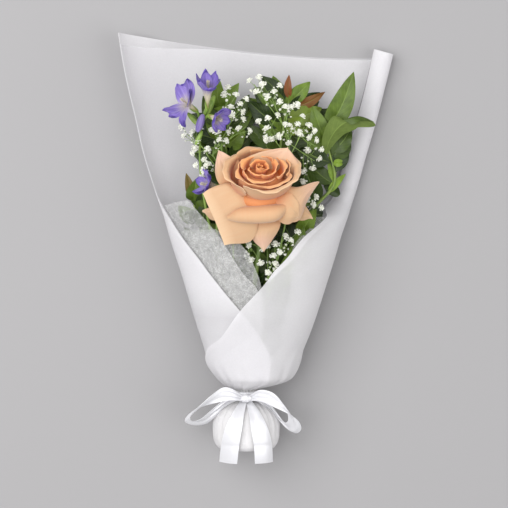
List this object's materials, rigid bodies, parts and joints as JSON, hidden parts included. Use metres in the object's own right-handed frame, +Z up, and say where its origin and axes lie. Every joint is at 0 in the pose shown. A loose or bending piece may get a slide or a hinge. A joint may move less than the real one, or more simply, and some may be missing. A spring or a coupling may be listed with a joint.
{
  "type": "mixed flower bouquet",
  "caption": "Hand bouquet lying on its back: peach rose, violet freesia, gypsophila and leafy stems in a rolled white paper cone tied with a satin ribbon.",
  "frame": {"origin": "middle of the bouquet's outline on the surface that it lies on", "axes": "+Y from the foot to the flowers, +X to the right as seen from above the flowers, +Z up from the surface"},
  "size_m": [0.2769, 0.4312, 0.1208],
  "materials": {
    "wrapping_paper": "soft matt white wrapping paper with the feel of non-woven cloth",
    "lining_paper": "matt white lining paper",
    "tissue": "grey-white mottled fibre tissue, slightly see-through",
    "satin": "white satin with a soft sheen",
    "cotton": "wet white cotton wadding",
    "rubber_band": "natural rubber",
    "rose_petal": "velvety peach petal, deeper orange at the heart",
    "rose_green": "waxy green stem and sepals",
    "freesia_petal": "violet petal, pale at the tube",
    "freesia_green": "fresh green stem and buds",
    "leaf_green": "waxy green leaf",
    "gypsophila": "white floret on a thin green stalk"
  },
  "bodies": {
    "root": {"outer_wrap": "wrapping_paper", "inner_sheet": "lining_paper", "left_tissue": "tissue", "left_tissue_fold": "tissue", "right_tissue": "tissue", "satin_ribbon": "satin", "wet_pad": "cotton", "stem_binding": "rubber_band", "rose_bloom": "rose_petal", "rose_stem": "rose_green", "freesia_stem": "freesia_green", "freesia_bloom_a": "freesia_petal", "freesia_bloom_b": "freesia_petal", "freesia_bloom_c": "freesia_petal", "freesia_bloom_d": "freesia_petal", "right_leafy_stem": "leaf_green", "centre_leafy_stem": "leaf_green", "left_leafy_stem": "leaf_green", "low_leafy_stem": "leaf_green", "left_gypsophila": "gypsophila", "right_gypsophila": "gypsophila"}
  },
  "joints": []
}
